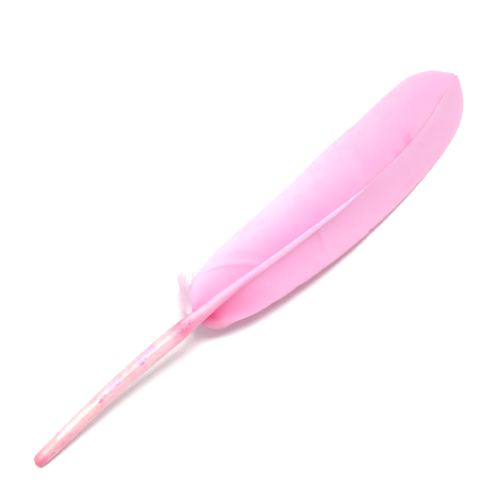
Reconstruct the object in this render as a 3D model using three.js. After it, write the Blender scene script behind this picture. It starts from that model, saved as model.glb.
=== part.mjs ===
// A goose wing quill, dyed pink, lying on a flat surface with its rounded back up.
// Millimetres, +Z up. +X runs from the quill's tip to the vane's tip, +Y is the broad vane's side.
// A station is a distance along X from the quill's tip.
import * as THREE from "three";

// ---- driving dimensions

const VANE_START = 56; // station where the lowest barbs leave the shaft
const SHAFT_END = 181;
const SHAFT_POINT = 0.3; // the last bit of the shaft, closed to a point
const BARREL_WALL = 0.45; // keratin wall of the hollow quill
const BARREL_FROM = 2.6; // stations between which the quill is hollow
const BARREL_TO = 51;
const BARREL_CLOSES = 55;
const UMBILICUS_RADIUS = 0.5; // the small hole in the quill's tip
const UMBILICUS_DEPTH = 1.2;
const VANE_THICKNESS = 0.6;
const VANE_GAP = 0.3; // between the shaft's side and the barbs
const TUFT_THICKNESS = 0.9;

// The shaft's middle line: [station, sideways, height]. It arches up from the quill's tip, is highest
// at the foot of the vanes, and sweeps back to the broad side at the end.
const SHAFT_LINE = [
  [0, 0, 1.4],
  [31.5, -2.3, 6.7],
  [61.5, -6.1, 10.6],
  [91.5, -9.4, 10.3],
  [121.5, -10.5, 7.8],
  [151.5, -7.6, 4.3],
  [181, -0.1, 1.0],
];

// The shaft's section: [station, width, depth]. Round in the quill, with a shoulder where the quill ends,
// and deeper than wide past it.
const SHAFT_SECTION = [
  [0, 2.4, 2.4],
  [0.8, 3.2, 3.2],
  [3, 3.6, 3.6],
  [19, 4.1, 4.1],
  [37, 4.5, 4.5],
  [47, 4.7, 4.7],
  [51.5, 4.4, 4.5],
  [55, 3.6, 4.1],
  [61.5, 3.2, 3.9],
  [77.5, 2.2, 3.4],
  [99.5, 1.6, 2.6],
  [121.5, 1.0, 1.8],
  [151.5, 0.6, 1.0],
  [181, 0.35, 0.5],
];

// Each vane is a family of barbs: [station where the barb leaves the shaft, edge x, edge y, edge height].
// The height is under zero where the surface presses the edge flat.
const BROAD_BARBS = [
  [56, 62.2, 4.0, 7.6],
  [62, 69.5, 6.4, 6.9],
  [69.5, 79.5, 8.2, 6.0],
  [79.5, 93.5, 8.7, 5.0],
  [91.5, 108.5, 9.5, 3.5],
  [104.5, 122.5, 10.7, 2.2],
  [117.5, 135.5, 11.7, 1.0],
  [131.5, 149.5, 12.1, -1.0],
  [145.5, 162.5, 12.1, -1.0],
  [157.5, 172.2, 11.4, -0.5],
  [166.5, 177.9, 7.9, 0.5],
  [174.5, 180.5, 3.1, 0.8],
  [180, 181.4, 0.8, 0.9],
];
const NARROW_BARBS = [
  [56, 63.5, -11.5, 5.8],
  [61.5, 69.5, -13.8, 5.1],
  [68.5, 78.5, -15.8, 4.8],
  [79.5, 90.5, -17.5, 4.2],
  [93.5, 104.5, -18.5, 3.0],
  [107.5, 118.5, -18.5, 1.8],
  [121.5, 132.5, -18.0, 0.7],
  [134.5, 144.5, -17.0, -0.2],
  [146.5, 156, -15.4, -0.5],
  [156.5, 165.2, -12.9, -0.2],
  [165.5, 173, -8.8, 0.4],
  [173.5, 178.5, -4.0, 0.6],
  [180, 181.3, -0.5, 0.9],
];

// The loose down at the foot of the broad vane: [x and y of one side, x and y of the other, height]
const TUFT_ROWS = [
  [55.5, -2.7, 56.0, -3.0, 11.0],
  [58.0, 1.0, 58.2, -0.1, 10.2],
  [61.1, 4.7, 60.9, 3.3, 8.6],
  [63.8, 8.0, 63.8, 5.1, 7.6],
  [66.0, 10.7, 66.8, 6.2, 6.8],
  [70.0, 14.9, 72.0, 12.3, 4.2],
];

// How the barbs leave the shaft, as shares of the shaft's depth above its middle
const BROAD_ATTACHES = 0.42;
const NARROW_ATTACHES = 0.32;
const NARROW_FOOT_DROP = 2.4; // the lowest narrow barbs come from under the shaft
const NARROW_FOOT_LENGTH = 9;
const NARROW_SAG = 2.3; // how far the very lowest ones sag between the shaft and the vane's edge
const NARROW_SAG_LENGTH = 5.5;

// How a barb's height runs from the shaft to its edge: over 1 bows up, under 1 dips
const BROAD_BOW = 1.35;
const NARROW_BOW = 0.62;
const NARROW_END_BOW = 1.3; // past the middle the narrow vane bows up as well
const NARROW_BOW_FROM = 95; // stations between which it goes from the one to the other
const NARROW_BOW_TO = 140;

const SHAFT_SIDES = 24;
const TIP_RINGS = [0, 0.3, 0.8, 1.6, 3, 6]; // stations of the shaft's first rings
// The shaft's other rings, closest together round the foot of the vanes: [from, to, how many]
const RING_RUNS = [
  [10, 50, 9],
  [53, 83, 11],
  [89, 179, 16],
];
const BARREL_RINGS = 10;
const BARBS_PER_VANE = 64;
const STEPS_PER_BARB = 8;
const TUFT_LENGTHS = 15;
const TUFT_WIDTHS = 5;

// ---- curves

// A smooth curve through a table's rows: column 0 is the distance, and the other columns follow it
function curveThrough(rows) {
  const slopes = rows.map((row, i) => {
    const before = rows[Math.max(i - 1, 0)];
    const after = rows[Math.min(i + 1, rows.length - 1)];
    return row.map((_, c) => (after[c] - before[c]) / (after[0] - before[0]));
  });
  return (distance) => {
    const passed = rows.filter((row) => row[0] <= distance).length;
    const i = THREE.MathUtils.clamp(passed - 1, 0, rows.length - 2);
    const span = rows[i + 1][0] - rows[i][0];
    const t = THREE.MathUtils.clamp((distance - rows[i][0]) / span, 0, 1);
    const start = (1 + 2 * t) * (1 - t) ** 2;
    const end = t * t * (3 - 2 * t);
    const leave = t * (1 - t) ** 2 * span;
    const arrive = t * t * (t - 1) * span;
    return rows[i]
      .slice(1)
      .map(
        (v, c) =>
          start * v +
          leave * slopes[i][c + 1] +
          end * rows[i + 1][c + 1] +
          arrive * slopes[i + 1][c + 1],
      );
  };
}

const shaftLine = curveThrough(SHAFT_LINE);
const shaftSection = curveThrough(SHAFT_SECTION);

function shaftPoint(station) {
  const [y, z] = shaftLine(station);
  return new THREE.Vector3(station, y, z);
}

// The shaft's place, forward direction, left and up at a station
function shaftFrame(station) {
  const step = 0.2;
  const ahead = shaftPoint(Math.min(station + step, SHAFT_END));
  const behind = shaftPoint(Math.max(station - step, 0));
  const forward = ahead.sub(behind).normalize();
  const left = new THREE.Vector3(0, 0, 1).cross(forward).normalize();
  const up = forward.clone().cross(left);
  return { at: shaftPoint(station), left, up };
}

// ---- closed bodies from rows of points

function bodyOf(points, triangles) {
  const geometry = new THREE.BufferGeometry();
  geometry.setAttribute("position", new THREE.Float32BufferAttribute(points.flat(), 3));
  geometry.setIndex(triangles.flat());
  geometry.computeVertexNormals();
  return geometry;
}

// A body through a run of rings with as many points each, closed by a point at both ends
function ringBody(firstPole, rings, lastPole) {
  const sides = rings[0].length;
  const points = [firstPole, ...rings.flat(), lastPole];
  const at = (ring, side) => 1 + ring * sides + (side % sides);
  const triangles = [];
  for (let side = 0; side < sides; side++) {
    triangles.push([0, at(0, side + 1), at(0, side)]);
    for (let ring = 0; ring + 1 < rings.length; ring++) {
      const [a, b] = [at(ring, side), at(ring, side + 1)];
      const [c, d] = [at(ring + 1, side), at(ring + 1, side + 1)];
      triangles.push([a, b, d], [a, d, c]);
    }
    const end = rings.length - 1;
    triangles.push([at(end, side), at(end, side + 1), points.length - 1]);
  }
  return bodyOf(points, triangles);
}

// A sheet over a grid of points, its underside never below the surface it lies on
function sheetBody(rows, thickness, facesLeft) {
  const across = rows[0].length;
  const under = rows.map((row) => row.map(([x, y, z]) => [x, y, Math.max(z - thickness / 2, 0)]));
  const over = under.map((row) => row.map(([x, y, z]) => [x, y, z + thickness]));
  const points = [...over.flat(), ...under.flat()];
  const top = (r, k) => r * across + k;
  const bottom = (r, k) => (rows.length + r) * across + k;
  const triangles = [];
  const quad = (a, b, c, d) => triangles.push([a, b, c], [a, c, d]);
  for (let r = 0; r + 1 < rows.length; r++) {
    for (let k = 0; k + 1 < across; k++) {
      quad(top(r, k), top(r + 1, k), top(r + 1, k + 1), top(r, k + 1));
      quad(bottom(r, k), bottom(r, k + 1), bottom(r + 1, k + 1), bottom(r + 1, k));
    }
    quad(top(r, 0), bottom(r, 0), bottom(r + 1, 0), top(r + 1, 0));
    const k = across - 1;
    quad(top(r, k), top(r + 1, k), bottom(r + 1, k), bottom(r, k));
  }
  for (let k = 0; k + 1 < across; k++) {
    const r = rows.length - 1;
    quad(top(0, k), top(0, k + 1), bottom(0, k + 1), bottom(0, k));
    quad(top(r, k), bottom(r, k), bottom(r, k + 1), top(r, k + 1));
  }
  const turned = facesLeft ? triangles : triangles.map(([a, b, c]) => [a, c, b]);
  return bodyOf(points, turned);
}

// ---- the quill and shaft, one hollow tube of keratin that tapers to a solid point

// One ring of the shaft, never below the surface it lies on
function shaftRing(station, halfWidth, halfDepth) {
  const { at, left, up } = shaftFrame(station);
  return Array.from({ length: SHAFT_SIDES }, (_, side) => {
    const angle = (2 * Math.PI * side) / SHAFT_SIDES;
    const point = at
      .clone()
      .addScaledVector(left, halfWidth * Math.cos(angle))
      .addScaledVector(up, halfDepth * Math.sin(angle));
    return [point.x, point.y, Math.max(point.z, 0)];
  });
}

function stationsBetween(from, to, count) {
  return Array.from({ length: count }, (_, i) => from + ((to - from) * i) / (count - 1));
}

function quillShaft() {
  const outer = [
    ...TIP_RINGS,
    ...RING_RUNS.flatMap(([from, to, count]) => stationsBetween(from, to, count)),
    SHAFT_END,
  ];
  const inner = stationsBetween(BARREL_TO, BARREL_FROM, BARREL_RINGS);
  const end = shaftPoint(SHAFT_END + SHAFT_POINT).toArray();
  const hollow = (station) => {
    const radius = shaftSection(station)[0] / 2 - BARREL_WALL;
    return shaftRing(station, radius, radius);
  };
  const outside = (station) => {
    const [width, depth] = shaftSection(station);
    return shaftRing(station, width / 2, depth / 2);
  };
  const rings = [
    ...inner.map(hollow),
    shaftRing(UMBILICUS_DEPTH, UMBILICUS_RADIUS, UMBILICUS_RADIUS),
    shaftRing(0, UMBILICUS_RADIUS, UMBILICUS_RADIUS),
    ...outer.map(outside),
  ];
  return ringBody(shaftPoint(BARREL_CLOSES).toArray(), rings, end);
}

// ---- the vanes

// One barb's line in the vane's sheet, from beside the shaft to the vane's edge
function barbPoints(root, edge, side, attachHeight, bow, sag = 0) {
  const [width] = shaftSection(root);
  const { at, left } = shaftFrame(root);
  const start = at.clone().addScaledVector(left, side * (width / 2 + VANE_GAP));
  start.z = at.z + attachHeight;
  return Array.from({ length: STEPS_PER_BARB + 1 }, (_, step) => {
    const share = step / STEPS_PER_BARB;
    return [
      THREE.MathUtils.lerp(start.x, edge[0], share),
      THREE.MathUtils.lerp(start.y, edge[1], share),
      THREE.MathUtils.lerp(start.z, edge[2], share ** bow) - sag * 4 * share * (1 - share),
    ];
  });
}

function broadVane() {
  const edge = curveThrough(BROAD_BARBS);
  const roots = stationsBetween(VANE_START, BROAD_BARBS.at(-1)[0], BARBS_PER_VANE);
  const rows = roots.map((root) => {
    const attach = BROAD_ATTACHES * shaftSection(root)[1];
    return barbPoints(root, edge(root), 1, attach, BROAD_BOW);
  });
  return sheetBody(rows, VANE_THICKNESS, true);
}

function narrowVane() {
  const edge = curveThrough(NARROW_BARBS);
  const roots = stationsBetween(VANE_START, NARROW_BARBS.at(-1)[0], BARBS_PER_VANE);
  const rows = roots.map((root) => {
    const fromFoot = Math.min((root - VANE_START) / NARROW_FOOT_LENGTH, 1);
    const attach = NARROW_ATTACHES * shaftSection(root)[1] - NARROW_FOOT_DROP * (1 - fromFoot) ** 2;
    const sagging = Math.max(1 - (root - VANE_START) / NARROW_SAG_LENGTH, 0) ** 2;
    const along = THREE.MathUtils.smoothstep(root, NARROW_BOW_FROM, NARROW_BOW_TO);
    const bow = THREE.MathUtils.lerp(NARROW_BOW, NARROW_END_BOW, along);
    return barbPoints(root, edge(root), -1, attach, bow, NARROW_SAG * sagging);
  });
  return sheetBody(rows, VANE_THICKNESS, false);
}

// ---- the loose down, as one plain flat tuft out to its tips

function downTuft() {
  const along = TUFT_ROWS.map((row, i) => [i, ...row]);
  const sides = curveThrough(along);
  const rows = stationsBetween(0, TUFT_ROWS.length - 1, TUFT_LENGTHS).map((distance) => {
    const [ax, ay, bx, by, z] = sides(distance);
    return Array.from({ length: TUFT_WIDTHS }, (_, k) => {
      const share = k / (TUFT_WIDTHS - 1);
      return [THREE.MathUtils.lerp(bx, ax, share), THREE.MathUtils.lerp(by, ay, share), z];
    });
  });
  return sheetBody(rows, TUFT_THICKNESS, true);
}

// ---- materials

const keratin = new THREE.MeshStandardMaterial({ color: 0xf9d4d6, roughness: 0.3 });
const pinkBarbs = new THREE.MeshStandardMaterial({ color: 0xffb4e0, roughness: 0.75 });
const paleDown = new THREE.MeshStandardMaterial({ color: 0xfde6f4, roughness: 0.9 });

// ---- the feather

function named(name, geometry, material) {
  const mesh = new THREE.Mesh(geometry, material);
  mesh.name = name;
  return mesh;
}

const feather = new THREE.Group();
feather.add(
  named("quill_shaft", quillShaft(), keratin),
  named("broad_vane", broadVane(), pinkBarbs),
  named("narrow_vane", narrowVane(), pinkBarbs),
  named("down_tuft", downTuft(), paleDown),
);

// The origin is on the surface under the middle of the whole feather
const box = new THREE.Box3().setFromObject(feather);
const middle = box.getCenter(new THREE.Vector3());
feather.position.set(-middle.x, -middle.y, -box.min.z);

export default feather;
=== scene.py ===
"""A goose wing quill, dyed pink, lying back up on a pale floor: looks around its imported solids.

Lengths are millimetres until a mesh is made, and metres in Blender. A station is a distance along X
from the quill's tip. A share runs from 0 at the shaft to 1 at a vane's edge.
"""

import math

import bpy
import numpy as np
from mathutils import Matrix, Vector


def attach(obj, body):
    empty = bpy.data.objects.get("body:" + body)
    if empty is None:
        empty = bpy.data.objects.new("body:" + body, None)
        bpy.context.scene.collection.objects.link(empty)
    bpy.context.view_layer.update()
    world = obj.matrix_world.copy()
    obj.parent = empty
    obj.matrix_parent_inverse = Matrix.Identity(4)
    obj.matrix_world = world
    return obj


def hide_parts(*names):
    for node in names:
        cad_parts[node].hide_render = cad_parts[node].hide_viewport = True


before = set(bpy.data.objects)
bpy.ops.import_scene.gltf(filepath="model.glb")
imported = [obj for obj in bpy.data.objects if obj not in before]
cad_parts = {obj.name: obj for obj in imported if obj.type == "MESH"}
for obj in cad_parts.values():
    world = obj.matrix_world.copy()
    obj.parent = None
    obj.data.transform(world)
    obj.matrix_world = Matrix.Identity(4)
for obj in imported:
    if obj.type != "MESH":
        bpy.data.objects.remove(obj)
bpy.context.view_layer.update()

MM = 0.001
ORIGIN = np.array([-90.5924, 1.8481, 0.0])  # station 0 on the floor, in the frame
RANDOM = np.random.default_rng(7)

# ---- driving dimensions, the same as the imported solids'

VANE_START = 56.0
VANE_END = 180.0
SHAFT_END = 181.0

# The shaft's middle line: station, sideways, height
SHAFT_LINE = [
    (0, 0, 1.4),
    (31.5, -2.3, 6.7),
    (61.5, -6.1, 10.6),
    (91.5, -9.4, 10.3),
    (121.5, -10.5, 7.8),
    (151.5, -7.6, 4.3),
    (181, -0.1, 1.0),
]
# The shaft's section: station, width, depth
SHAFT_SECTION = [
    (0, 2.4, 2.4),
    (0.8, 3.2, 3.2),
    (3, 3.6, 3.6),
    (19, 4.1, 4.1),
    (37, 4.5, 4.5),
    (47, 4.7, 4.7),
    (51.5, 4.4, 4.5),
    (55, 3.6, 4.1),
    (61.5, 3.2, 3.9),
    (77.5, 2.2, 3.4),
    (99.5, 1.6, 2.6),
    (121.5, 1.0, 1.8),
    (151.5, 0.6, 1.0),
    (181, 0.35, 0.5),
]
# A vane's barbs: station at the shaft, then the vane's edge as x, y, height
BROAD_BARBS = [
    (56, 62.2, 4.0, 7.6),
    (62, 69.5, 6.4, 6.9),
    (69.5, 79.5, 8.2, 6.0),
    (79.5, 93.5, 8.7, 5.0),
    (91.5, 108.5, 9.5, 3.5),
    (104.5, 122.5, 10.7, 2.2),
    (117.5, 135.5, 11.7, 1.0),
    (131.5, 149.5, 12.1, -1.0),
    (145.5, 162.5, 12.1, -1.0),
    (157.5, 172.2, 11.4, -0.5),
    (166.5, 177.9, 7.9, 0.5),
    (174.5, 180.5, 3.1, 0.8),
    (180, 181.4, 0.8, 0.9),
]
NARROW_BARBS = [
    (56, 63.5, -11.5, 5.8),
    (61.5, 69.5, -13.8, 5.1),
    (68.5, 78.5, -15.8, 4.8),
    (79.5, 90.5, -17.5, 4.2),
    (93.5, 104.5, -18.5, 3.0),
    (107.5, 118.5, -18.5, 1.8),
    (121.5, 132.5, -18.0, 0.7),
    (134.5, 144.5, -17.0, -0.2),
    (146.5, 156, -15.4, -0.5),
    (156.5, 165.2, -12.9, -0.2),
    (165.5, 173, -8.8, 0.4),
    (173.5, 178.5, -4.0, 0.6),
    (180, 181.3, -0.5, 0.9),
]
# The loose down: one side's x and y, the other side's x and y, height
TUFT_ROWS = [
    (55.5, -2.7, 56.0, -3.0, 11.0),
    (58.0, 1.0, 58.2, -0.1, 10.2),
    (61.1, 4.7, 60.9, 3.3, 8.6),
    (63.8, 8.0, 63.8, 5.1, 7.6),
    (66.0, 10.7, 66.8, 6.2, 6.8),
    (70.0, 14.9, 72.0, 12.3, 4.2),
]

# How a barb's height runs from the shaft to its edge: over 1 bows up, under 1 dips
BROAD_BOW = 1.35
NARROW_BOW = 0.62
NARROW_END_BOW = 1.3
NARROW_BOW_CHANGES = (95.0, 140.0)  # stations between which the narrow vane's bow changes
NARROW_SAG = 2.3  # how far the very lowest barbs sag between the shaft and the vane's edge
NARROW_SAG_LENGTH = 5.5

BARREL_WALL = 0.45
BARREL_FROM = 2.6
BARREL_TO = 51.0
BARREL_CLOSES = 55.0
UMBILICUS_RADIUS = 0.5
UMBILICUS_DEPTH = 1.2
SHAFT_POINT = 0.3

# ---- driving dimensions of the fine mesh

BARBS = 430  # in each vane
BARB_RINGS = 24
BARB_CROWDING = 0.9  # under 1 sets a barb's rings closer towards its end
BARB_THICKNESS = 0.07
BARB_ROOT_THICKNESS = 1.6  # times that thickness at the shaft
BARB_THINNING = 0.9  # how much of it is gone at the vane's edge
BARB_OVERLAP = 1.1  # a barb's width over the distance to the next
BARB_SPACINGS = (0.08, 0.6)  # the least and the greatest distance that this counts from
BARB_TAPER_FROM = 0.93  # the share where a barb starts to taper
BARB_TAPER = 0.75  # how much of its width is gone at its end
BARB_TILT = math.radians(9)  # each barb lies a little over its neighbour
BARB_BEND = 2.4  # how far a barb bows back before it sweeps to the vane's tip
BARB_BEND_GROWS = 10.0  # stations from the foot over which the barbs start to bow back
BARB_BEND_FADES = 14.0  # stations before the tip over which they stop
BARB_UNEVEN = 0.008  # how unequal neighbouring barbs' heights are at the edge
BARB_LIES = 0.12  # height of a barb's middle where the floor presses the vane flat
BARB_SETTLES = 0.15  # how gently a barb's slope runs out into that flat part
TINY = 1e-6  # keeps a division clear of zero
LOWEST = 0.01  # no barb or downy fibre comes closer to the floor
ROOT_DEPTH = 0.12  # how far the barbs start inside the shaft's surface
BROAD_ROOT = 68.0  # degrees up from the shaft's side
NARROW_ROOT = 60.0
NARROW_FOOT_DROP = 86.0  # the lowest narrow barbs come from under the shaft's side
NARROW_FOOT_LENGTH = 17.0
NARROW_FOOT_STEEPNESS = 1.5

# Shallow creases across a vane: station at the shaft, stations lost out to the edge, first and last
# share, height of the step
BROAD_CREASES = [(78.0, 17.0, 0.0, 0.85, 0.34), (83.0, 15.0, 0.1, 0.7, 0.16)]
NARROW_CREASES = [(101.0, 14.0, 0.0, 0.7, 0.22)]
CREASE_WIDTH = 1.3
CREASE_GROWS = 0.12  # the share over which a crease starts
CREASE_HEAD_START = 0.6  # how much of that it has behind it at its first share
CREASE_FADES = 0.2

# Nicks in a vane's edge: station at the shaft, half of its width, share of the barbs that it takes
BROAD_NICKS = [(83.0, 1.1, 0.05), (115.0, 2.2, 0.025), (122.0, 1.2, 0.03), (97.0, 0.8, 0.02)]
NARROW_NICKS = [(66.5, 0.9, 0.05), (74.0, 1.4, 0.03), (104.5, 1.0, 0.045), (128.0, 1.4, 0.03)]
BROAD_RAGGED = 0.016  # how unequal neighbouring barbs' lengths are
NARROW_RAGGED = 0.035
SHAFT_SINKS = (98.0, 130.0)  # stations between which the barbs close over the shaft

BARREL_RINGS = 40
SHAFT_SIDES = 48
SHAFT_TIP_RINGS = (0, 0.15, 0.3, 0.55, 0.8, 1.2)  # stations round the quill's rounded tip
# Evenly spaced rings: first station, last station, how many
SHAFT_RINGS = [(1.6, 50.0, 90), (50.6, SHAFT_END, 210)]
GROOVE_START = 57.0
GROOVE_GROWS = 12.0
GROOVE_DEPTH = 0.3  # as a share of the radius
GROOVE_WIDTH = 0.35

# The down's strands lie between the tuft's two sides, where a lean of 0 is on one and 1 on the other
DOWN_STRANDS = 34
DOWN_STEPS = 26  # points along each strand
DOWN_FIRST_LEAN = -0.8
DOWN_LEAN_RANGE = 2.1
DOWN_REACHES = (0.8, 1.0)  # least and greatest share of the tuft's length
DOWN_OUTER_LEAN = 0.75  # strands that lean further than this are shorter
DOWN_OUTER_LOSS = 0.8
DOWN_SWAY = 0.16
DOWN_SWAY_TURNS = (3.0, 8.0)  # least and greatest, in radians along the tuft
DOWN_WAVE = 0.35  # how far a strand waves up and down at its end
DOWN_WAVE_TURNS = 5.0
DOWN_RISE = 0.3  # how far its end stands over or under the others at most
DOWN_ROOT = (-1.0, -0.7)  # from the tuft's first row to where the strands leave the shaft
DOWN_ROOT_SHARE = 0.15  # the share over which they come round from there
DOWN_LIFT = 0.3  # the strands lie over the vane's border
DOWN_TOP = 12.6  # no barbule stands higher
STRAND_RADIUS = 0.065
STRAND_TAPER = 0.5
STRAND_SIDES = 3
STRAND_TURN = (0.3, 0.2, 0.93)  # a strand's rings start square to this and to the strand

BARBULES = 60  # on each strand
BARBULE_RINGS = 6
BARBULE_LENGTH = 3.2  # the longest at a strand's root
BARBULE_LENGTHS = (0.4, 1.0)  # the shortest and the longest, as shares of it
BARBULE_SHORTENS = 0.3  # how much shorter one at the strand's end is, as a share
BARBULE_LAST = 0.99  # the share of a strand that bears them
BARBULE_RISES = 0.4  # under 1 lays them flatter
BARBULE_SWEEPS = (0.1, 1.3)  # how much of the strand's direction a barbule takes
BARBULE_DRIFT = 0.25  # how far it curls, as a share of its length
BARBULE_RADIUS = 0.017
BARBULE_TAPER = 0.5

# The strips on the bake's map: how many lie side by side, and shares of a strip or of its cell
BARB_COLUMNS = 4
STRAND_COLUMNS = 2
BARBULE_COLUMNS = 24
UV_MARGIN = 0.06
UV_BODY = 0.94  # the last hundredths of a strip's length hold its two caps
UV_CAPS = (0.955, 0.985)
UV_CAP_SIZE = (0.012, 0.4)

# ---- curves


def curve_through(rows):
    """A smooth curve through a table's rows: column 0 is the distance, and the others follow it."""
    rows = np.array(rows, float)
    number = np.arange(len(rows))
    before = rows[np.maximum(number - 1, 0)]
    after = rows[np.minimum(number + 1, len(rows) - 1)]
    slopes = (after - before) / (after - before)[:, :1]

    def at(distance):
        distance = np.atleast_1d(distance).astype(float)
        passed = np.searchsorted(rows[:, 0], distance, side="right") - 1
        i = np.clip(passed, 0, len(rows) - 2)
        span = rows[i + 1, 0] - rows[i, 0]
        t = np.clip((distance - rows[i, 0]) / span, 0, 1)[:, None]
        span = span[:, None]
        start = (1 + 2 * t) * (1 - t) ** 2 * rows[i]
        leave = t * (1 - t) ** 2 * span * slopes[i]
        end = t * t * (3 - 2 * t) * rows[i + 1]
        arrive = t * t * (t - 1) * span * slopes[i + 1]
        return (start + leave + end + arrive)[:, 1:]

    return at


shaft_line = curve_through(SHAFT_LINE)
shaft_section = curve_through(SHAFT_SECTION)


def smooth_step(x):
    x = np.clip(x, 0, 1)
    return x * x * (3 - 2 * x)


def unit(v):
    return v / np.linalg.norm(v, axis=-1, keepdims=True)


def shaft_points(station):
    return np.c_[station, shaft_line(station)]


def shaft_frame(station):
    """The shaft's middle, left and up at each station."""
    step = 0.2
    ahead = shaft_points(np.minimum(station + step, SHAFT_END))
    behind = shaft_points(np.maximum(station - step, 0))
    forward = unit(ahead - behind)
    left = unit(np.cross([0, 0, 1], forward))
    return shaft_points(station), left, np.cross(forward, left)


# ---- meshes


def make_mesh(name, points, faces, floats, uv=None):
    """A smooth mesh object from points in millimetres, with a named number on each vertex."""
    mesh = bpy.data.meshes.new(name)
    mesh.from_pydata(((points + ORIGIN) * MM).tolist(), [], faces)
    for label, values in floats.items():
        attribute = mesh.attributes.new(label, "FLOAT", "POINT")
        attribute.data.foreach_set("value", np.asarray(values, np.float32).ravel())
    if uv is not None:
        layer = mesh.uv_layers.new(name="OFBake")
        layer.data.foreach_set("uv", uv.astype(np.float32).ravel())
    mesh.polygons.foreach_set("use_smooth", [True] * len(mesh.polygons))
    mesh.validate()
    mesh.update()
    piece = bpy.data.objects.new(name, mesh)
    bpy.context.scene.collection.objects.link(piece)
    return piece


def strand_uv(strands, rings, sides, columns):
    """Where each strand's faces lie on the bake's map: one strip a strand, side by side."""
    lines = math.ceil(strands / columns)
    strand = np.arange(strands)
    left = (strand % columns) / columns
    low = (strand // columns) / lines
    wide = (1 - 2 * UV_MARGIN) / columns
    tall = (1 - 2 * UV_MARGIN) / lines
    x0 = left + UV_MARGIN / columns
    y0 = low + UV_MARGIN / lines
    n, r, k = np.meshgrid(strand, np.arange(rings - 1), np.arange(sides), indexing="ij")
    across = [0, 1, 1, 0]
    along = [0, 0, 1, 1]
    corners = [
        np.stack(
            [
                x0[n] + wide * UV_BODY * (r + along[c]) / (rings - 1),
                y0[n] + tall * (k + across[c]) / sides,
            ],
            -1,
        )
        for c in range(4)
    ]
    walls = np.stack(corners, -2).reshape(-1, 2)
    turn = 2 * np.pi * np.arange(sides) / sides
    circle = np.stack([np.cos(turn), np.sin(turn)], -1)
    caps = []
    size = np.array([wide, tall]) * UV_CAP_SIZE
    for place in UV_CAPS:
        centre = np.stack([x0 + wide * place, y0 + tall / 2], -1)[:, None]
        caps.append((centre + circle[None] * size).reshape(-1, 2))
    return np.concatenate([walls, *caps])


def strands_mesh(name, rings, floats, columns):
    """Closed strands as one mesh. rings is (strand, ring, side, xyz), all in the same turn."""
    strands, count, sides, _ = rings.shape
    index = np.arange(strands * count * sides).reshape(strands, count, sides)
    here, ahead = index[:, :-1], index[:, 1:]
    near, far = np.roll(here, -1, 2), np.roll(ahead, -1, 2)
    walls = np.stack([here, near, far, ahead], -1).reshape(-1, 4)
    first = index[:, 0, ::-1]
    last = index[:, -1]
    points = rings.reshape(-1, 3)
    uv = strand_uv(strands, count, sides, columns)
    faces = walls.tolist() + first.tolist() + last.tolist()
    if signed_volume(points, walls) < 0:
        faces = [f[::-1] for f in faces]
        uv = flipped_corners(uv, len(walls), sides)
    spread = {k: np.repeat(v[:, :, None], sides, 2) for k, v in floats.items()}
    return make_mesh(name, points, faces, spread, uv)


def flipped_corners(uv, walls, sides):
    """The corners' places with each face's corners in the other order."""
    quads = uv[: walls * 4].reshape(-1, 4, 2)[:, ::-1].reshape(-1, 2)
    caps = uv[walls * 4 :].reshape(-1, sides, 2)[:, ::-1].reshape(-1, 2)
    return np.concatenate([quads, caps])


def signed_volume(points, quads):
    a, b, c, d = (points[quads[:, i]] for i in range(4))
    first = np.einsum("ij,ij->", a, np.cross(b, c))
    second = np.einsum("ij,ij->", a, np.cross(c, d))
    return (first + second) / 6


# ---- the vanes


def broad_root(station):
    """How far round the shaft the barbs start, in degrees up from its side."""
    return np.full_like(station, BROAD_ROOT)


def narrow_root(station):
    from_foot = np.clip((station - VANE_START) / NARROW_FOOT_LENGTH, 0, 1)
    return NARROW_ROOT - NARROW_FOOT_DROP * (1 - from_foot) ** NARROW_FOOT_STEEPNESS


def broad_bow(station):
    return np.full_like(station, BROAD_BOW)


def narrow_bow(station):
    first, last = NARROW_BOW_CHANGES
    changed = smooth_step((station - first) / (last - first))
    return NARROW_BOW + (NARROW_END_BOW - NARROW_BOW) * changed


BROAD = {
    "side": 1,
    "edge": curve_through(BROAD_BARBS),
    "root": broad_root,
    "bow": broad_bow,
    "sag": 0.0,
    "creases": BROAD_CREASES,
    "nicks": BROAD_NICKS,
    "ragged": BROAD_RAGGED,
}
NARROW = {
    "side": -1,
    "edge": curve_through(NARROW_BARBS),
    "root": narrow_root,
    "bow": narrow_bow,
    "sag": NARROW_SAG,
    "creases": NARROW_CREASES,
    "nicks": NARROW_NICKS,
    "ragged": NARROW_RAGGED,
}


def crease_height(vane, station, share):
    """A dip just before each crease, counted from the quill, and a low ridge just after it."""
    height = np.zeros_like(station)
    for root, lost, first, last, step in vane["creases"]:
        off = (station - (root - lost * share)) / CREASE_WIDTH
        fade = smooth_step((share - first) / CREASE_GROWS + CREASE_HEAD_START)
        fade *= smooth_step((last - share) / CREASE_FADES)
        height += step * off * np.exp(-off * off) * fade
    return height


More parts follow.
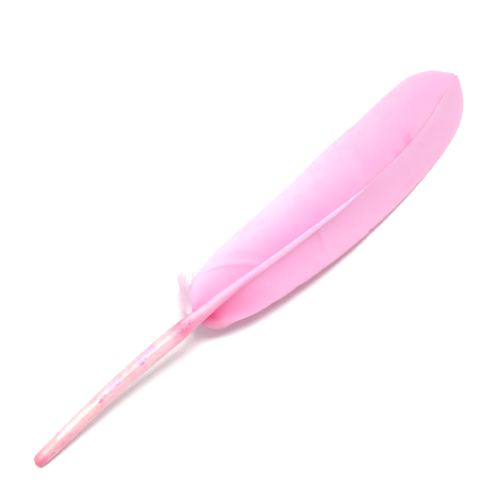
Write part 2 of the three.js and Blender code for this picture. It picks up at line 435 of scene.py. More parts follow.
def vane_points(vane, station, share):
    """Places on a vane's sheet, from the shaft's surface at share 0 to the vane's edge at 1."""
    at, left, up = shaft_frame(station)
    section = shaft_section(station)
    edge = vane["edge"](station)
    sunk = smooth_step((station - SHAFT_SINKS[0]) / (SHAFT_SINKS[1] - SHAFT_SINKS[0]))
    root = np.radians(vane["root"](station))
    root += (np.pi / 2 - root) * sunk
    inside = ROOT_DEPTH - (ROOT_DEPTH + BARB_THICKNESS) * sunk
    beside = (section[:, 0] / 2 - inside) * np.cos(root)
    above = (section[:, 1] / 2 - inside) * np.sin(root)
    start = at + left * (vane["side"] * beside)[:, None] + up * above[:, None]
    points = start + (edge - start) * share[:, None]
    bowed = np.maximum(share, 0) ** vane["bow"](station)
    height = start[:, 2] + (edge[:, 2] - start[:, 2]) * bowed
    height += crease_height(vane, station, share)
    sagging = np.clip(1 - (station - VANE_START) / NARROW_SAG_LENGTH, 0, 1) ** 2
    height -= vane["sag"] * sagging * 4 * share * (1 - share)
    over = height - BARB_LIES
    points[:, 2] = BARB_LIES + (over + np.sqrt(over * over + BARB_SETTLES**2)) / 2
    return points


def barb_paths(vane):
    """Station and share along each barb, as (barb, ring)."""
    roots = np.linspace(VANE_START, VANE_END, BARBS)
    share = np.linspace(0, 1, BARB_RINGS)[None] ** BARB_CROWDING
    lengths = 1 - vane["ragged"] * RANDOM.random(BARBS) ** 2
    for centre, half, depth in vane["nicks"]:
        lengths -= depth * np.maximum(1 - np.abs(roots - centre) / half, 0)
    share = share * lengths[:, None]
    grown = smooth_step((roots - VANE_START) / BARB_BEND_GROWS)
    ends = grown * smooth_step((VANE_END - roots) / BARB_BEND_FADES)
    bend = BARB_BEND * ends[:, None] * 4 * share * (1 - share)
    return np.clip(roots[:, None] - bend, VANE_START, VANE_END), share


def barb_mesh(name, vane):
    """A vane's barbs, each a flat four-sided strand that tapers at the vane's edge."""
    station, share = barb_paths(vane)
    shape = station.shape
    flat_station, flat_share = station.ravel(), share.ravel()
    middle = vane_points(vane, flat_station, flat_share).reshape(*shape, 3)
    along = unit(np.gradient(middle, axis=1))
    step = np.gradient(middle, axis=0)
    sideways = step - along * np.sum(step * along, -1, keepdims=True)
    apart = np.linalg.norm(sideways, axis=-1)
    across = sideways / np.maximum(apart, TINY)[..., None]
    up = np.cross(along, across) * -vane["side"]
    up *= np.sign(up[..., 2:])
    taper = 1 - BARB_TAPER * smooth_step((share - BARB_TAPER_FROM) / (1 - BARB_TAPER_FROM))
    half = np.clip(apart, *BARB_SPACINGS) * BARB_OVERLAP / 2 * taper
    tilted = across * math.cos(BARB_TILT) - up * math.sin(BARB_TILT)
    normal = up * math.cos(BARB_TILT) + across * math.sin(BARB_TILT)
    thick = BARB_THICKNESS / 2 * (BARB_ROOT_THICKNESS - BARB_THINNING * share)
    lift = (BARB_UNEVEN * RANDOM.standard_normal(BARBS))[:, None] * share
    middle[..., 2] += np.abs(lift)
    corners = [
        middle + tilted * half[..., None],
        middle + normal * thick[..., None],
        middle - tilted * half[..., None],
        middle - normal * thick[..., None],
    ]
    rings = np.stack(corners, 2)
    rings[..., 2] = np.maximum(rings[..., 2], LOWEST)
    tone = np.repeat(RANDOM.standard_normal(BARBS)[:, None], BARB_RINGS, 1)
    crease = crease_height(vane, flat_station, flat_share).reshape(shape)
    floats = {"share": share, "station": station / SHAFT_END, "tone": tone, "crease": crease}
    return strands_mesh(name, rings, floats, BARB_COLUMNS)


# ---- the quill and shaft


def groove(station, angle):
    """How deep the furrow under the shaft is, as a share of the radius."""
    grown = smooth_step((station - GROOVE_START) / GROOVE_GROWS) * GROOVE_DEPTH
    off = (np.sin(angle) + 1) / GROOVE_WIDTH
    return grown * np.exp(-off * off)


def shaft_ring(station, half_width, half_depth, furrowed=True):
    angle = 2 * np.pi * np.arange(SHAFT_SIDES) / SHAFT_SIDES
    at, left, up = shaft_frame(np.array([station]))
    keep = 1 - groove(station, angle) if furrowed else np.ones(SHAFT_SIDES)
    across = half_width * np.cos(angle)
    above = half_depth * np.sin(angle) * keep
    ring = at + left * across[:, None] + up * above[:, None]
    ring[:, 2] = np.maximum(ring[:, 2], 0)
    return ring


def quill_mesh():
    """One closed skin: from the hollow's far end back through it, out at the tip and along the outside."""
    inside = np.linspace(BARREL_TO, BARREL_FROM, BARREL_RINGS)
    outside = np.concatenate([SHAFT_TIP_RINGS, *(np.linspace(*row) for row in SHAFT_RINGS)])
    rings, stations = [], []
    for station in inside:
        radius = shaft_section(station)[0, 0] / 2 - BARREL_WALL
        rings.append(shaft_ring(station, radius, radius, False))
        stations.append(station)
    for station in (UMBILICUS_DEPTH, 0.0):
        rings.append(shaft_ring(station, UMBILICUS_RADIUS, UMBILICUS_RADIUS, False))
        stations.append(station)
    for station in outside:
        width, depth = shaft_section(station)[0]
        rings.append(shaft_ring(station, width / 2, depth / 2))
        stations.append(station)
    closes = shaft_points(np.array([BARREL_CLOSES]))
    end = shaft_points(np.array([SHAFT_END]))
    end[:, 0] += SHAFT_POINT
    points = np.concatenate([closes, np.concatenate(rings), end])
    sides = SHAFT_SIDES
    faces = []
    for side in range(sides):
        beside = (side + 1) % sides
        faces.append((0, 1 + beside, 1 + side))
        for ring in range(len(rings) - 1):
            low, high = 1 + ring * sides, 1 + (ring + 1) * sides
            faces.append((low + side, low + beside, high + beside, high + side))
        last = 1 + (len(rings) - 1) * sides
        faces.append((last + side, last + beside, len(points) - 1))
    angle = np.tile(2 * np.pi * np.arange(sides) / sides, len(rings))
    station = np.repeat(stations, sides)
    floats = {
        "station": np.concatenate([[BARREL_CLOSES], station, [SHAFT_END]]) / SHAFT_END,
        "leftness": np.concatenate([[0], np.cos(angle), [0]]),
        "upness": np.concatenate([[0], np.sin(angle), [0]]),
    }
    return make_mesh("quill_and_shaft", points, faces, floats)


# ---- the loose down


def down_strand(sides, lean, reach):
    """One strand's middle line, and its share of the tuft's length at each point."""
    share = np.linspace(0, reach, DOWN_STEPS)
    ax, ay, bx, by, z = sides(share * (len(TUFT_ROWS) - 1)).T
    wave = RANDOM.uniform(0, 2 * np.pi)
    sway = lean + DOWN_SWAY * np.sin(wave + share * RANDOM.uniform(*DOWN_SWAY_TURNS)) * share
    line = np.stack([bx + (ax - bx) * sway, by + (ay - by) * sway, z + DOWN_LIFT], -1)
    line[:, :2] += np.maximum(1 - share / DOWN_ROOT_SHARE, 0)[:, None] ** 2 * DOWN_ROOT
    line[:, 2] += DOWN_WAVE * np.sin(wave + DOWN_WAVE_TURNS * share) * share
    line[:, 2] += RANDOM.uniform(-DOWN_RISE, DOWN_RISE) * share
    return line, share


def down_barbule(line, forward):
    """A barbule's middle line, and how many of the strand's steps from its root it stands."""
    where = RANDOM.uniform(0, BARBULE_LAST) * (DOWN_STEPS - 1)
    step = int(where)
    base = line[step] + (line[step + 1] - line[step]) * (where - step)
    out = RANDOM.standard_normal(3)
    out -= forward[step] * (out @ forward[step])
    out[2] *= BARBULE_RISES
    tip = unit(unit(out) + forward[step] * RANDOM.uniform(*BARBULE_SWEEPS))
    length = BARBULE_LENGTH * RANDOM.uniform(*BARBULE_LENGTHS)
    length *= 1 - BARBULE_SHORTENS * where / DOWN_STEPS
    t = np.linspace(0, 1, BARBULE_RINGS)[:, None]
    drift = RANDOM.standard_normal(3) * BARBULE_DRIFT * length
    hair = base + tip * length * t + drift * t * t
    hair[:, 2] = np.minimum(hair[:, 2], DOWN_TOP)
    return hair, where


def down_meshes():
    sides = curve_through([(i, *row) for i, row in enumerate(TUFT_ROWS)])
    strand_radii = STRAND_RADIUS * (1 - STRAND_TAPER * np.linspace(0, 1, DOWN_STEPS))
    barbule_radii = BARBULE_RADIUS * (1 - BARBULE_TAPER * np.linspace(0, 1, BARBULE_RINGS))
    strands, barbules = [], []
    for number in range(DOWN_STRANDS):
        lean = DOWN_FIRST_LEAN + DOWN_LEAN_RANGE * (number + RANDOM.random()) / DOWN_STRANDS
        reach = RANDOM.uniform(*DOWN_REACHES) * (1 - DOWN_OUTER_LOSS * max(lean - DOWN_OUTER_LEAN, 0))
        line, share = down_strand(sides, lean, reach)
        strands.append((tube_rings(line, strand_radii), share))
        forward = unit(np.gradient(line, axis=0))
        for _ in range(BARBULES):
            hair, where = down_barbule(line, forward)
            rooted = np.full(BARBULE_RINGS, where / DOWN_STEPS * reach)
            barbules.append((tube_rings(hair, barbule_radii), rooted))
    return (
        join_strands("down_strands", strands, STRAND_COLUMNS),
        join_strands("down_barbules", barbules, BARBULE_COLUMNS),
    )


def tube_rings(line, radius):
    """Rings round a line, as (ring, side, xyz)."""
    forward = unit(np.gradient(line, axis=0))
    aside = unit(np.cross(forward, STRAND_TURN))[:, None]
    above = np.cross(forward, aside[:, 0])[:, None]
    turn = (2 * np.pi * np.arange(STRAND_SIDES) / STRAND_SIDES)[None, :, None]
    ring = aside * np.cos(turn) + above * np.sin(turn)
    return line[:, None] + ring * radius[:, None, None]


def join_strands(name, strands, columns):
    rings = np.stack([r for r, _ in strands])
    share = np.stack([s for _, s in strands])
    rings[..., 2] = np.maximum(rings[..., 2], LOWEST)
    return strands_mesh(name, rings, {"share": share}, columns)


# ---- colours, as linear light

CLOUD_PINK = (1.0, 0.78, 0.95)
STREAK_PINK = (1.0, 0.42, 0.74)
# darker pink for the blots, and the painted shade in the creases' dips
BLOT_AND_CREASE_SHADE_PINK = (0.92, 0.34, 0.68)
# deep pink by the shaft at the vanes' foot; in the narrow vane's hollow it is painted shade with deeper
# dye
DEEP_PINK = (0.92, 0.08, 0.30)
# paler pink, also the painted highlight on the creases' ridges
PALE_PINK = (1.0, 0.86, 0.98)
LIP_SHADE_PINK = (0.88, 0.54, 0.66)  # painted shade where the lowest narrow barbs curl under
THROUGH_PINK = (1.0, 0.10, 0.48)  # what is left of the light that comes through a vane
# painted highlight on the quill's upper side
HIGHLIGHT_CREAM = (0.94, 0.66, 0.60)
HORN_PINK = (0.92, 0.40, 0.44)
# painted highlight on the quill's upper side, in patches and a streak
HIGHLIGHT_WHITE = (0.98, 0.80, 0.76)
HORN_TAN = (0.84, 0.40, 0.38)
HAIRLINE_RED = (0.80, 0.22, 0.32)
EDGE_PINK = (0.84, 0.27, 0.36)
SIDE_PINK = (0.86, 0.25, 0.41)
TIP_PINK = (0.84, 0.14, 0.30)
FLECK_LILAC = (0.72, 0.42, 0.78)
FLECK_MAGENTA = (0.80, 0.10, 0.42)
FLECK_ROSE = (0.80, 0.26, 0.40)
FOOT_PINK = (0.93, 0.28, 0.42)
FOOT_DEEP = (0.86, 0.07, 0.22)
TONGUE_PALE = (0.98, 0.60, 0.76)
# painted shade on the shaft's right side wall
WALL_SHADE_PINK = (0.97, 0.30, 0.52)
WEB_PINK = (0.96, 0.28, 0.46)
# The quill's colour along it: station, colour
QUILL_ALONG = [
    (0.0, (0.88, 0.27, 0.34)),
    (3.0, (0.90, 0.44, 0.47)),
    (12.0, (0.91, 0.51, 0.56)),
    (28.0, (0.93, 0.56, 0.61)),
    (44.0, (0.93, 0.54, 0.62)),
    (50.0, (0.94, 0.38, 0.50)),
    (57.0, (0.97, 0.46, 0.60)),
    (72.0, (1.0, 0.48, 0.70)),
    (100.0, (1.0, 0.50, 0.75)),
    (125.0, (1.0, 0.62, 0.90)),
]
# What breaks up the quill's dye: size in millimetres, level and steepness of its edge, scale along X,
# where less is more drawn out, and how much dye is left between the patches
QUILL_PATCHES = {
    "ragged": (0.45, 0.44, 6.0, 1.0, 0.35),
    "mottled": (1.1, 0.42, 4.0, 1.0, 0.25),
    "streaked": (2.4, 0.46, 4.0, 0.35, 0.0),
    # breaks the painted highlight on the upper side into patches
    "highlight_patches": (1.6, 0.50, 5.0, 0.25, 0.0),
    "hairlines": (0.42, 0.56, 9.0, 0.06, 0.0),
    "blotched": (0.9, 0.50, 6.0, 1.0, 0.0),
    "torn": (0.8, 0.40, 5.0, 1.0, 0.2),
}
# Coats on the quill, of dye and on some rows of painted highlight and painted shade: the side it faces in
# degrees up from the left and half of its width, if it isn't all round, first station, last station and
# fade, its patches if it has any, strength, colour
QUILL_COATS = [
    # painted highlight: the upper side, where the light falls, is painted cream and white in patches; all
    # round, the quill is streaked along its length
    ((82, 62), (5, 46, 3), None, 0.62, HIGHLIGHT_CREAM),
    (None, (4, 48, 3), "streaked", 0.55, HORN_PINK),
    ((86, 50), (7, 46, 3), "highlight_patches", 0.65, HIGHLIGHT_WHITE),
    ((82, 24), (8, 18, 2), None, 0.6, HIGHLIGHT_WHITE),
    (None, (8, 47, 3), "hairlines", 0.45, HAIRLINE_RED),
    # painted shade along its left edge, where the translucent wall is seen edge-on, as a double line, and
    # pink down its right side, most of all near the tip
    ((34, 24), (2, 50, 2), None, 1.2, EDGE_PINK),
    ((75, 8), (3, 36, 3), None, 0.5, EDGE_PINK),
    ((160, 44), (1, 9, 9), "mottled", 0.85, SIDE_PINK),
    ((120, 12), (6, 44, 4), None, 0.35, EDGE_PINK),
    # a tan patch on top near the tip, and the deep pink end
    ((96, 36), (4.4, 7.0, 1.2), None, 0.7, HORN_TAN),
    (None, (-2, 1.0, 1.2), "blotched", 0.8, TIP_PINK),
    ((170, 60), (-1, 1.4, 1.6), None, 0.6, TIP_PINK),
]
# The coats over the flecks
FOOT_COATS = [
    # deep dye on both sides of the pale tongue where the barbs begin
    (None, (48.6, 51.6, 2.4), "mottled", 0.8, FOOT_PINK),
    ((48, 30), (50.4, 53.2, 1.2), "torn", 0.7, FOOT_DEEP),
    ((126, 40), (49.8, 53.0, 1.4), "torn", 0.95, FOOT_DEEP),
    # painted shade: past the foot the shaft's right side wall, which stands in shade, is painted deeper
    # pink
    ((172, 50), (54.5, 74, 6), None, 0.9, WALL_SHADE_PINK),
    ((150, 50), (53, 56.5, 1.5), None, 0.7, WEB_PINK),
    ((84, 11), (51.6, 57, 1.0), None, 0.7, TONGUE_PALE),
]
# Dried dye on the quill: station, its reach, degrees round, its reach, strength, colour
QUILL_FLECKS = [
    (22.0, 0.9, 118, 15, 0.95, FLECK_MAGENTA),
    (23.4, 0.8, 112, 13, 0.85, FLECK_MAGENTA),
    (25.2, 1.5, 117, 10, 0.6, FLECK_ROSE),
    (27.3, 2.4, 97, 27, 0.75, FLECK_LILAC),
    (28.0, 1.3, 114, 12, 0.7, FLECK_MAGENTA),
    (29.6, 1.0, 54, 18, 0.7, FLECK_ROSE),
    (31.4, 1.6, 120, 9, 0.5, FLECK_ROSE),
    (36.8, 2.2, 99, 24, 0.7, FLECK_LILAC),
    (36.4, 0.9, 116, 12, 0.8, FLECK_MAGENTA),
    (37.8, 0.7, 108, 10, 0.7, FLECK_MAGENTA),
    (40.4, 2.2, 78, 26, 0.65, FLECK_LILAC),
    (41.6, 0.8, 62, 16, 0.6, FLECK_ROSE),
    (39.6, 1.3, 118, 12, 0.5, HORN_TAN),
    (44.6, 1.0, 70, 14, 0.45, FLECK_LILAC),
]
FLECK_STEEPNESS = 2.5
# Soft variations of a vane's dye: size in millimetres, the level that they start from, strength
VANE_CLOUDS = (11.0, 0.42, 0.9)
VANE_STREAKS = (2.6, 0.5, 0.35)
VANE_PATCHES = (5.0, 0.5, 0.7)
STREAK_CHANGES = 1.6  # how often the streaks change from the shaft to the edge
# Each barb's own tone: how far it strays, its middle, its strength
BARB_TONES = (0.25, 0.5, 0.07)
DIP_SHADE_STRENGTH = -2.0  # of the painted shade in a crease's dip, whose height is under 0
RIDGE_HIGHLIGHT_STRENGTH = 1.6  # of the painted highlight on its ridge
DOWN_ALONG = [(0.0, (1.0, 0.78, 0.90)), (0.5, (1.0, 0.76, 0.89)), (1.0, (1.0, 0.56, 0.76))]
FLOOR_GREY = (0.86, 0.86, 0.86, 1)

# ---- materials


class Nodes:
    """A material's node tree, with short ways to add the nodes that this feather uses."""

    def __init__(self, name):
        self.material = bpy.data.materials.new(name)
        self.material.use_nodes = True
        self.tree = self.material.node_tree
        self.tree.nodes.clear()
        self.output = self.add("ShaderNodeOutputMaterial")

    def add(self, kind, **values):
        node = self.tree.nodes.new(kind)
        for key, value in values.items():
            setattr(node, key, value)
        return node

    def link(self, source, target):
        self.tree.links.new(source, target)

    def attribute(self, name):
        node = self.add("ShaderNodeAttribute", attribute_name=name)
        return node.outputs["Fac"]

    def noise(self, size_mm, detail=3.0, stretch=(1, 1, 1)):
        """Noise with features of about this size in millimetres."""
        place = self.add("ShaderNodeTexCoord").outputs["Object"]
        mapping = self.add("ShaderNodeMapping")
        mapping.inputs["Scale"].default_value = stretch
        self.link(place, mapping.inputs["Vector"])
        node = self.add("ShaderNodeTexNoise")
        node.inputs["Scale"].default_value = 1 / (size_mm * MM)
        node.inputs["Detail"].default_value = detail
        self.link(mapping.outputs[0], node.inputs["Vector"])
        return node.outputs["Fac"]

    def math(self, operation, a, b=0.0, clamp=False):
        node = self.add("ShaderNodeMath", operation=operation, use_clamp=clamp)
        for socket, value in zip(node.inputs, (a, b)):
            if isinstance(value, (int, float)):
                socket.default_value = value
            else:
                self.link(value, socket)
        return node.outputs[0]

    def over(self, value, level, strength):
        """How far a value is over a level, times a strength, from 0 to 1."""
        return self.math("MULTIPLY", self.math("SUBTRACT", value, level), strength, clamp=True)

    def bump_at(self, value, centre, width):
        """1 at the centre and falling off to each side, as far as width."""
        off = self.math("ABSOLUTE", self.math("SUBTRACT", value, centre))
        return self.math("SUBTRACT", 1.0, self.math("DIVIDE", off, width), clamp=True)

    def ramp(self, value, stops):
        node = self.add("ShaderNodeValToRGB")
        elements = node.color_ramp.elements
        while len(elements) < len(stops):
            elements.new(0.5)
        for element, (place, colour) in zip(elements, stops):
            element.position = place
            element.color = (*colour, 1)
        self.link(value, node.inputs["Fac"])
        return node.outputs["Color"]

    def mix(self, share, a, b):
        node = self.add("ShaderNodeMix", data_type="RGBA")
        for socket, value in ((node.inputs[0], share), (node.inputs[6], a), (node.inputs[7], b)):
            if isinstance(value, tuple):
                socket.default_value = (*value, 1)
            elif isinstance(value, float):
                socket.default_value = value
            else:
                self.link(value, socket)
        return node.outputs[2]

    def principled(self, colour, **values):
        node = self.add("ShaderNodeBsdfPrincipled")
        self.link(colour, node.inputs["Base Color"])
        for key, value in values.items():
            node.inputs[key.replace("_", " ")].default_value = value
        return node

    def bump(self, height, strength, distance_mm):
        node = self.add("ShaderNodeBump")
        node.inputs["Strength"].default_value = strength
        node.inputs["Distance"].default_value = distance_mm * MM
        self.link(height, node.inputs["Height"])
        return node.outputs["Normal"]

    def finish(self, shader):
        self.link(shader, self.output.inputs["Surface"])
        return self.material


def lets_light_through(nodes, surface, colour, share):
    through = nodes.add("ShaderNodeBsdfTranslucent")
    nodes.link(colour, through.inputs["Color"])
    mixed = nodes.add("ShaderNodeMixShader")
    mixed.inputs[0].default_value = share
    nodes.link(surface, mixed.inputs[1])
    nodes.link(through.outputs[0], mixed.inputs[2])
    return mixed.outputs[0]


def streaks(nodes, station, share, size_mm):
    """Noise drawn out along the barbs, with streaks of about this width in millimetres."""
    place = nodes.add("ShaderNodeCombineXYZ")
    nodes.link(nodes.math("MULTIPLY", station, SHAFT_END / size_mm), place.inputs[0])
    nodes.link(nodes.math("MULTIPLY", share, STREAK_CHANGES), place.inputs[1])
    node = nodes.add("ShaderNodeTexNoise")
    node.inputs["Scale"].default_value = 1.0
    node.inputs["Detail"].default_value = 2.0
    nodes.link(place.outputs[0], node.inputs["Vector"])
    return node.outputs["Fac"]


def spot_on_vane(nodes, station, share, spot):
    """1 at a place on the vane and falling off round it."""
    centre, long, place, wide, steep = spot
    along = nodes.bump_at(station, centre / SHAFT_END, long / SHAFT_END)
    near = nodes.math("MULTIPLY", along, nodes.bump_at(share, place, wide))
    return nodes.math("MULTIPLY", near, steep, clamp=True)


def vane_material(name, near, far, changes, spots, through, lets):
    """A vane's dye.

    near and far are its colours from shaft to edge before and after it changes between two stations.
    A spot is a station, its reach, a share, its reach and a steepness, then a strength and a colour.
    lets is how much of the light comes through, and through is how far that turns to THROUGH_PINK.
    """
    nodes = Nodes(name)
    share, station, tone = (nodes.attribute(a) for a in ("share", "station", "tone"))
    first, last = (place / SHAFT_END for place in changes)
    along = nodes.math("DIVIDE", nodes.math("SUBTRACT", station, first), last - first, clamp=True)
    colour = nodes.mix(along, nodes.ramp(share, near), nodes.ramp(share, far))
    size, *amount = VANE_CLOUDS
    colour = nodes.mix(nodes.over(nodes.noise(size), *amount), colour, CLOUD_PINK)
    size, *amount = VANE_STREAKS
    colour = nodes.mix(nodes.over(streaks(nodes, station, share, size), *amount), colour, STREAK_PINK)
    size, *amount = VANE_PATCHES
    colour = nodes.mix(nodes.over(nodes.noise(size), *amount), colour, STREAK_PINK)
    strays, middle, strength = BARB_TONES
    fine = nodes.math("ADD", nodes.math("MULTIPLY", tone, strays), middle)
    colour = nodes.mix(nodes.math("MULTIPLY", fine, strength), colour, STREAK_PINK)
    for spot, strength, paint in spots:
        near_spot = spot_on_vane(nodes, station, share, spot)
        colour = nodes.mix(nodes.math("MULTIPLY", near_spot, strength, clamp=True), colour, paint)
    # painted shade in each crease's dip and painted highlight on its ridge, following the crease's height
    crease = nodes.attribute("crease")
    for strength, paint in ((DIP_SHADE_STRENGTH, BLOT_AND_CREASE_SHADE_PINK), (RIDGE_HIGHLIGHT_STRENGTH, PALE_PINK)):
        colour = nodes.mix(nodes.math("MULTIPLY", crease, strength, clamp=True), colour, paint)
    surface = nodes.principled(colour, Roughness=0.62, IOR=1.35, Sheen_Weight=0.08, Sheen_Roughness=0.5)
    grain = nodes.noise(size_mm=0.25, detail=2.0)
    nodes.link(nodes.bump(grain, strength=0.25, distance_mm=0.03), surface.inputs["Normal"])
    deeper = nodes.mix(through, colour, THROUGH_PINK)
    return nodes.finish(lets_light_through(nodes, surface.outputs[0], deeper, lets))


def quill_material():
    nodes = Nodes("quill_horn")
    station, leftness = nodes.attribute("station"), nodes.attribute("leftness")
    upness = nodes.attribute("upness")

    def both(a, b):
        return nodes.math("MULTIPLY", a, b, clamp=True)

    def facing(degrees, half_width):
        """1 on the side of the quill at this angle from its left, 0 where it has turned this far away."""
        turn = math.radians(degrees)
        least = math.cos(math.radians(half_width))
        left = nodes.math("MULTIPLY", leftness, math.cos(turn))
        up = nodes.math("MULTIPLY", upness, math.sin(turn))
        along = nodes.math("SUBTRACT", nodes.math("ADD", left, up), least)
        return nodes.math("DIVIDE", along, 1 - least, clamp=True)

    def between(first, last, fade):
        """1 between two stations, and 0 past the fade on either side."""
        middle, half = (first + last) / 2, (last - first) / 2 + fade
        near = nodes.bump_at(station, middle / SHAFT_END, half / SHAFT_END)
        return nodes.math("MULTIPLY", near, half / fade, clamp=True)

    def patches(size_mm, level, steepness, along, least):
        """Soft-edged patches where the noise is over a level."""
        noise = nodes.noise(size_mm, stretch=(along, 1, 1))
        return nodes.math("ADD", nodes.over(noise, level, steepness), least, clamp=True)

    patterns = {name: patches(*row) for name, row in QUILL_PATCHES.items()}

    def coat(colour, side, stations, pattern, strength, tint):
        """The colour under one more coat: a tint on most rows, and a painted highlight or painted shade on
        some.
        """
        amount = between(*stations)
        if side:
            amount = both(amount, facing(*side))
        if pattern:
            amount = both(amount, patterns[pattern])
        return nodes.mix(both(amount, strength), colour, tint)

    def fleck(colour, centre, long, degrees, wide, strength, tint):
        near = nodes.bump_at(station, centre / SHAFT_END, long / SHAFT_END)
        spot = both(both(near, facing(degrees, wide)), FLECK_STEEPNESS)
        return nodes.mix(both(both(spot, patterns["ragged"]), strength), colour, tint)

    colour = nodes.ramp(station, [(place / SHAFT_END, tint) for place, tint in QUILL_ALONG])
    for row in QUILL_COATS:
        colour = coat(colour, *row)
    for row in QUILL_FLECKS:
        colour = fleck(colour, *row)
    for row in FOOT_COATS:
        colour = coat(colour, *row)
    surface = nodes.principled(
        colour,
        Roughness=0.38,
        IOR=1.45,
        Subsurface_Weight=0.5,
        Subsurface_Scale=1.2 * MM,
        Transmission_Weight=0.2,
    )
    grain = nodes.noise(size_mm=0.6, stretch=(0.12, 1, 1))
    nodes.link(nodes.bump(grain, strength=0.3, distance_mm=0.05), surface.inputs["Normal"])
    return nodes.finish(surface.outputs[0])


def down_material():
    nodes = Nodes("pale_down")
    colour = nodes.ramp(nodes.attribute("share"), DOWN_ALONG)
    surface = nodes.principled(colour, Roughness=0.8, Sheen_Weight=0.2)
    return nodes.finish(lets_light_through(nodes, surface.outputs[0], colour, share=0.2))


def floor_material():
    nodes = Nodes("plain_floor")
    surface = nodes.add("ShaderNodeBsdfPrincipled")
    surface.inputs["Base Color"].default_value = FLOOR_GREY
    surface.inputs["Roughness"].default_value = 0.9
    return nodes.finish(surface.outputs[0])


# ---- the object


def dress(piece, material, slot, *nodes):
    piece.data.materials.append(material)
    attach(piece, "root")
    if nodes:
        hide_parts(*nodes)


broad_pink = vane_material(
    "broad_barbs_pink",
    near=[
        (0.0, (1.0, 0.44, 0.75)),
        (0.3, (1.0, 0.60, 0.87)),
        (0.7, (1.0, 0.80, 0.97)),
        (1.0, (1.0, 0.88, 1.0)),
    ],
    far=[
        (0.0, (1.0, 0.60, 0.83)),
        (0.5, (1.0, 0.60, 0.85)),
        (0.8, (1.0, 0.65, 0.88)),
        (1.0, (1.0, 0.76, 0.90)),
    ],
    changes=(100.0, 160.0),
    spots=[
        ((57.0, 7.0, 0.0, 0.4, 1.0), 0.25, DEEP_PINK),
        ((145.4, 2.5, 0.07, 0.11, 2.5), 0.5, BLOT_AND_CREASE_SHADE_PINK),
        ((144.4, 3.6, 0.02, 0.14, 1.5), 0.35, BLOT_AND_CREASE_SHADE_PINK),
        ((139.0, 2.6, 0.02, 0.10, 1.8), 0.4, BLOT_AND_CREASE_SHADE_PINK),
        ((167.0, 2.5, 0.05, 0.1, 1.0), 0.3, BLOT_AND_CREASE_SHADE_PINK),
    ],
    through=0.1,
    lets=0.32,
)
narrow_pink = vane_material(
    "narrow_barbs_pink",
    near=[
        (0.0, (1.0, 0.50, 0.87)),
        (0.3, (1.0, 0.64, 0.95)),
        (0.7, (1.0, 0.69, 0.95)),
        (1.0, (1.0, 0.66, 0.89)),
    ],
    far=[
        (0.0, (1.0, 0.76, 0.97)),
        (0.5, (1.0, 0.75, 0.99)),
        (0.8, (1.0, 0.76, 0.99)),
        (1.0, (1.0, 0.89, 1.0)),
    ],
    changes=(66.0, 146.0),
    spots=[
        # painted shade with deeper dye in the hollow by the shaft at the foot
        ((62.5, 12.0, 0.0, 0.95, 1.0), 0.6, DEEP_PINK),
        ((58.6, 3.8, 0.05, 0.36, 1.3), 0.85, DEEP_PINK),
        # painted shade on the lip where the lowest barbs curl under
        ((55.0, 3.4, 0.65, 0.75, 2.5), 0.95, LIP_SHADE_PINK),
        ((58.6, 2.2, 0.7, 0.35, 1.6), 0.15, PALE_PINK),
        ((144.5, 4.0, 0.0, 0.15, 1.0), 0.3, BLOT_AND_CREASE_SHADE_PINK),
    ],
    through=0.8,
    lets=0.39,
)
dress(barb_mesh("broad_vane_barbs", BROAD), broad_pink, "vane", "broad_vane")
dress(barb_mesh("narrow_vane_barbs", NARROW), narrow_pink, "vane", "narrow_vane")
dress(quill_mesh(), quill_material(), "quill", "quill_shaft")
pale_down = down_material()
strands, barbules = down_meshes()
dress(strands, pale_down, "down", "down_tuft")
dress(barbules, pale_down, "down")

# ---- floor, light and camera, in metres

FLOOR_HALF = 1.5
FLOOR_DROP = 0.00002  # how far the floor lies under the feather
PHOTO_WIDTH = 500  # pixels
FOCAL_LENGTH = 1825.66  # pixels, fitted to the photograph
SENSOR_WIDTH = 36  # millimetres
CAMERA_AZIMUTH = -50.29  # degrees, as the views count them
CAMERA_ELEVATION = 50
CAMERA_DISTANCE = 0.5  # from the place that it faces
CAMERA_FACES = np.array([-4.775, 3.326, 5.0]) * MM
CAMERA_SEES = (0.01, 10)  # its nearest and farthest


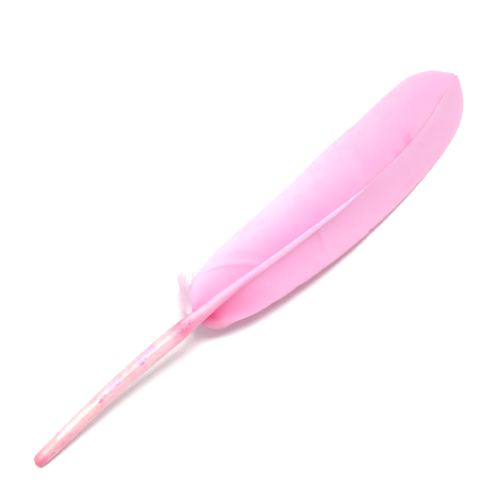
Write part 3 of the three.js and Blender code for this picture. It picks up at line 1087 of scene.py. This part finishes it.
def make_floor():
    half = FLOOR_HALF
    mesh = bpy.data.meshes.new("floor")
    corners = [(-half, -half, 0), (half, -half, 0), (half, half, 0), (-half, half, 0)]
    mesh.from_pydata(corners, [], [(0, 1, 2, 3)])
    mesh.materials.append(floor_material())
    floor = bpy.data.objects.new("floor", mesh)
    floor.location.z = -FLOOR_DROP
    bpy.context.scene.collection.objects.link(floor)


def direction(azimuth, elevation):
    """The way from the object to a viewer: azimuth 0 is from -Y, as the views count it."""
    a, e = math.radians(azimuth), math.radians(elevation)
    return np.array([math.sin(a) * math.cos(e), -math.cos(a) * math.cos(e), math.sin(e)])


def aim(thing, back):
    """Turns a light or camera to look against the way back to it."""
    thing.rotation_mode = "QUATERNION"
    thing.rotation_quaternion = (-Vector(back)).to_track_quat("-Z", "Y")


def make_light(name, azimuth, elevation, distance, size, power):
    data = bpy.data.lights.new(name, "AREA")
    data.shape = "DISK"
    data.size = size
    data.energy = power
    light = bpy.data.objects.new(name, data)
    back = direction(azimuth, elevation)
    light.location = back * distance
    aim(light, back)
    bpy.context.scene.collection.objects.link(light)


def make_camera():
    data = bpy.data.cameras.new("camera")
    data.sensor_width = SENSOR_WIDTH
    data.lens = FOCAL_LENGTH / PHOTO_WIDTH * SENSOR_WIDTH
    data.clip_start, data.clip_end = CAMERA_SEES
    camera = bpy.data.objects.new("camera", data)
    back = direction(CAMERA_AZIMUTH, CAMERA_ELEVATION)
    camera.location = CAMERA_FACES + back * CAMERA_DISTANCE
    aim(camera, back)
    bpy.context.scene.collection.objects.link(camera)
    bpy.context.scene.camera = camera


def make_world(strength):
    world = bpy.data.worlds.new("studio")
    world.use_nodes = True
    background = world.node_tree.nodes["Background"]
    background.inputs["Color"].default_value = (1, 1, 1, 1)
    background.inputs["Strength"].default_value = strength
    bpy.context.scene.world = world


make_floor()
make_camera()
make_world(strength=0.66)
make_light("key", azimuth=-25, elevation=88, distance=1.1, size=0.75, power=15)
bpy.context.scene.view_settings.view_transform = "Standard"
